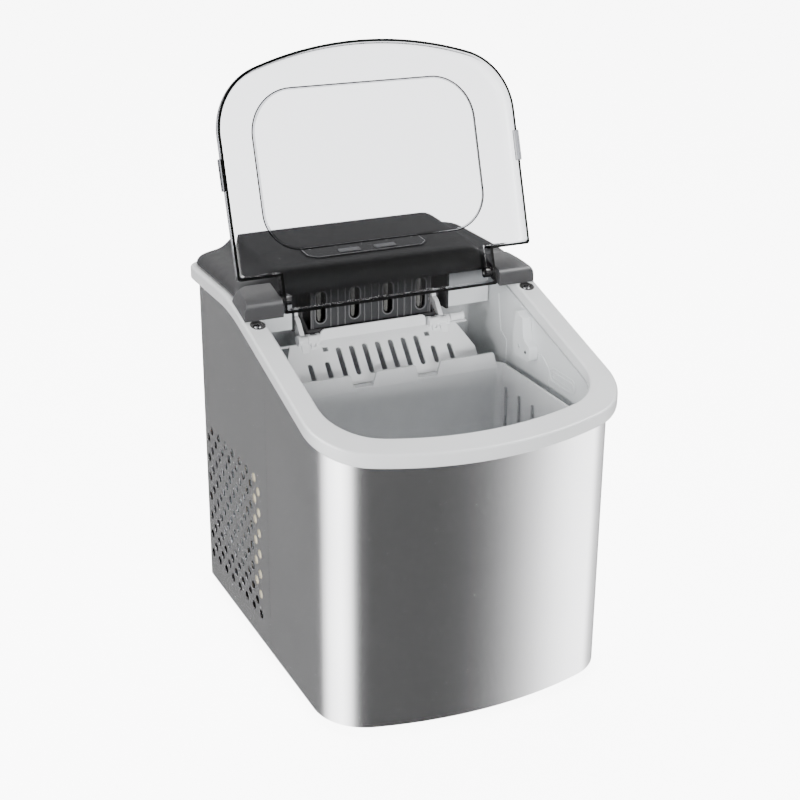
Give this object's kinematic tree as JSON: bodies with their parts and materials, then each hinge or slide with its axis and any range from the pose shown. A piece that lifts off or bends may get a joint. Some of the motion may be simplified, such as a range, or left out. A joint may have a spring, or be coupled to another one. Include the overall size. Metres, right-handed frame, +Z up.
{
  "type": "countertop ice maker",
  "caption": "Countertop ice maker with a steel case, hinged smoked lid, ice basket, tilting water tray and ice shovel, freezing fingers, cooling unit and controls.",
  "frame": {"origin": "on the floor, under the middle of the machine's width and depth, with the lid open", "axes": "+Z up, -Y to the front, +X to the right when seen from the front"},
  "size_m": [0.2926, 0.359, 0.5458],
  "materials": {
    "base_plastic": "matte grey moulded plastic",
    "feet_rubber": "matte black rubber",
    "brushed_steel": "satin brushed stainless sheet",
    "white_plastic": "satin white plastic",
    "charcoal_plastic": "satin charcoal plastic",
    "control_overlay": "dark overlay with a light border",
    "button_plastic": "satin grey plastic",
    "light_guide": "clear light guide",
    "circuit_board": "green board",
    "smoked_clear": "smoked clear plastic",
    "hinge_plastic": "satin dark grey plastic",
    "pin_steel": "plain steel pin",
    "black_metal": "black painted metal",
    "liner_plastic": "light grey white liner",
    "insulation_foam": "rigid foam",
    "basket_plastic": "white, slightly translucent plastic",
    "ice_works_plastic": "white moulded plastic",
    "nickel_plate": "nickel plated tube",
    "aluminium_fins": "bare aluminium fins",
    "copper_tube": "bare copper",
    "black_rubber": "black rubber"
  },
  "bodies": {
    "case": {"base_pan": "base_plastic", "foot_front_left": "feet_rubber", "foot_front_right": "feet_rubber", "foot_rear_left": "feet_rubber", "foot_rear_right": "feet_rubber", "front_panel": "brushed_steel", "left_side_panel": "brushed_steel", "right_side_panel": "brushed_steel", "rear_panel": "brushed_steel", "top_frame": "white_plastic", "rear_cover": "charcoal_plastic", "fan_shroud": "charcoal_plastic", "control_panel": "control_overlay", "light_guide": "light_guide", "display_board": "circuit_board", "main_board": "circuit_board", "hinge_block_left": "hinge_plastic", "hinge_block_right": "hinge_plastic", "evaporator_housing": "hinge_plastic", "hinge_pin_left": "pin_steel", "hinge_pin_right": "pin_steel", "hinge_screw_left": "black_metal", "hinge_screw_right": "black_metal", "compressor": "black_metal", "fan_motor": "black_metal", "water_pump": "black_metal", "tank_liner": "liner_plastic", "ice_sensor": "liner_plastic", "tank_insulation": "insulation_foam", "tray_motor": "ice_works_plastic", "drain_spout": "ice_works_plastic", "evaporator": "nickel_plate", "condenser": "aluminium_fins", "filter_drier": "copper_tube", "suction_tube": "copper_tube", "discharge_tube": "copper_tube", "fill_hose": "black_rubber", "cord_gland": "black_rubber"},
    "lid": {"lid": "smoked_clear"},
    "basket": {"ice_basket": "basket_plastic"},
    "tray": {"water_tray": "ice_works_plastic"},
    "shovel": {"ice_shovel": "ice_works_plastic"},
    "fan": {"fan_blade": "hinge_plastic"},
    "power_button": {"power_button": "button_plastic"},
    "select_button": {"select_button": "button_plastic"},
    "drain_plug": {"drain_plug": "black_rubber"}
  },
  "joints": [
    {"name": "lid_hinge", "type": "hinge", "parent": "case", "child": "lid", "pos_m": [0, 0.03167, 0.33537], "axis": [1, 0, 0], "range_deg": [0, 125]},
    {"name": "basket_lift", "type": "slide", "parent": "case", "child": "basket", "axis": [0, 0, 1], "range_m": [0, 0.015]},
    {"name": "tray_tilt", "type": "hinge", "parent": "case", "child": "tray", "pos_m": [0, 0.09, 0.3], "axis": [1, 0, 0], "range_deg": [-8, 55]},
    {"name": "shovel_swing", "type": "hinge", "parent": "case", "child": "shovel", "pos_m": [0, 0.09, 0.3], "axis": [-1, 0, 0], "range_deg": [0, 45]},
    {"name": "fan_spin", "type": "hinge", "parent": "case", "child": "fan", "pos_m": [-0.1007, 0.095, 0.11], "axis": [1, 0, 0], "continuous": true},
    {"name": "power_press", "type": "slide", "parent": "case", "child": "power_button", "axis": [0, 0.0718, -0.9974], "range_m": [0, 0.0008], "stiffness_N_per_m": 400, "springref_m": -0.001},
    {"name": "select_press", "type": "slide", "parent": "case", "child": "select_button", "axis": [0, 0.0718, -0.9974], "range_m": [0, 0.0008], "stiffness_N_per_m": 400, "springref_m": -0.001},
    {"name": "drain_plug_pull", "type": "slide", "parent": "case", "child": "drain_plug", "axis": [1, 0, 0], "range_m": [0, 0.02]}
  ]
}
